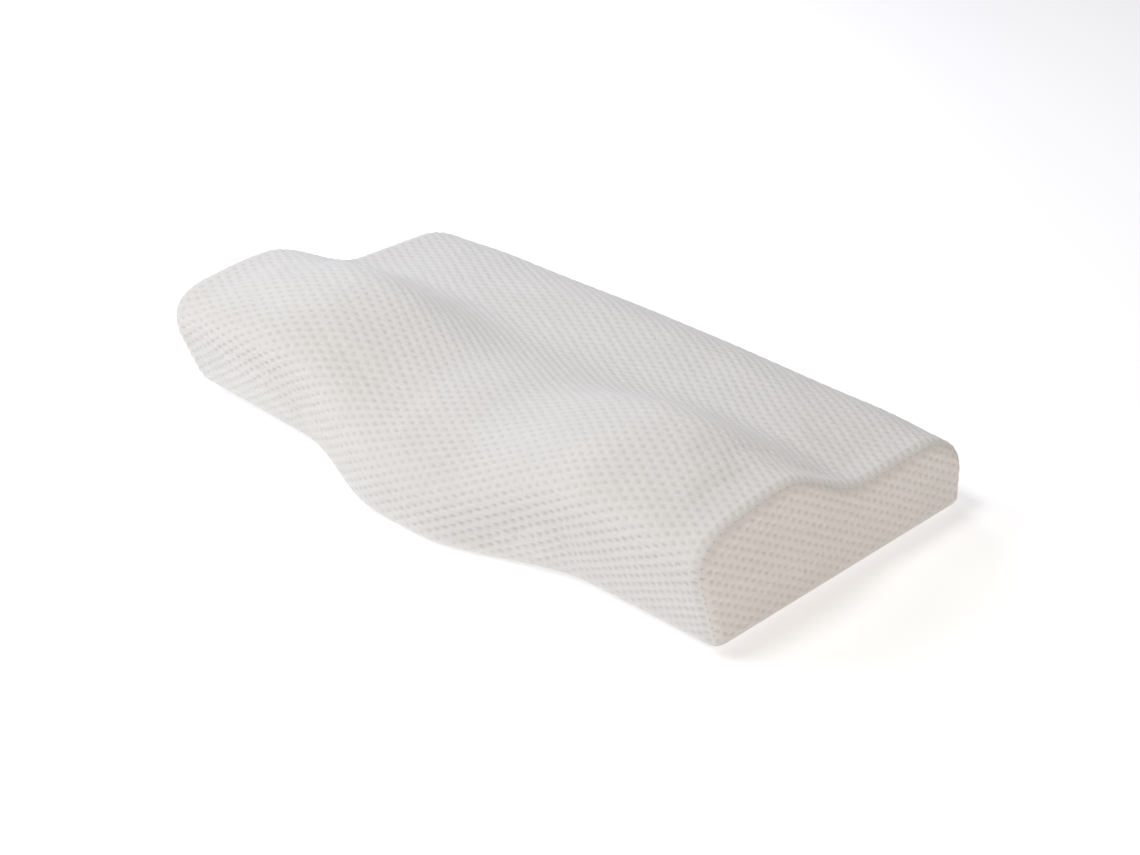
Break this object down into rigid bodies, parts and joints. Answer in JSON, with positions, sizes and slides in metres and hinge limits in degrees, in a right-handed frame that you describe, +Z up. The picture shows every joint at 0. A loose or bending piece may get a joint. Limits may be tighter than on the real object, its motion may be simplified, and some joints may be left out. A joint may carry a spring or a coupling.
{
  "type": "bed pillow",
  "caption": "Contoured butterfly bed pillow: foam body with raised side wings, a low centre and a bulging neck lobe, in a fitted dimpled knit cover that zips off along the back.",
  "frame": {"origin": "on the base plane, under the middle of the pillow's outer box", "axes": "+X along the pillow towards its right end, -Y towards the front neck edge, +Z up"},
  "size_m": [0.6107, 0.3599, 0.1206],
  "materials": {
    "memory_foam": "matte",
    "liner_knit": "matte",
    "cover_knit": "matte",
    "cover_end_knit": "matte",
    "seam_thread": "matte",
    "zip_tape": "matte",
    "zip_coil": "satin",
    "zip_metal": "satin"
  },
  "bodies": {
    "pillow": {"foam_core": "memory_foam", "liner_wrap": "liner_knit", "liner_end_left": "liner_knit", "liner_end_right": "liner_knit", "cover_wrap": "cover_knit", "cover_end_left": "cover_end_knit", "cover_end_right": "cover_end_knit", "end_seam_thread_left": "seam_thread", "end_seam_thread_right": "seam_thread", "zip_tape_upper": "zip_tape", "zip_tape_lower": "zip_tape", "zip_coil_upper": "zip_coil", "zip_coil_lower": "zip_coil", "zip_stitching_upper": "seam_thread", "zip_stitching_lower": "seam_thread", "zip_stop_closed": "zip_metal", "zip_stop_open": "zip_metal"},
    "slider": {"zip_slider": "zip_metal"},
    "pull": {"zip_pull": "zip_metal"}
  },
  "joints": [
    {"name": "zip_slide", "type": "slide", "parent": "pillow", "child": "slider", "axis": [-1, 0, 0], "range_m": [0, 0.369]},
    {"name": "pull_hinge", "type": "hinge", "parent": "slider", "child": "pull", "pos_m": [0.1845, 0.17825, 0.0225], "axis": [0, 0, -1], "range_deg": [0, 180]}
  ]
}
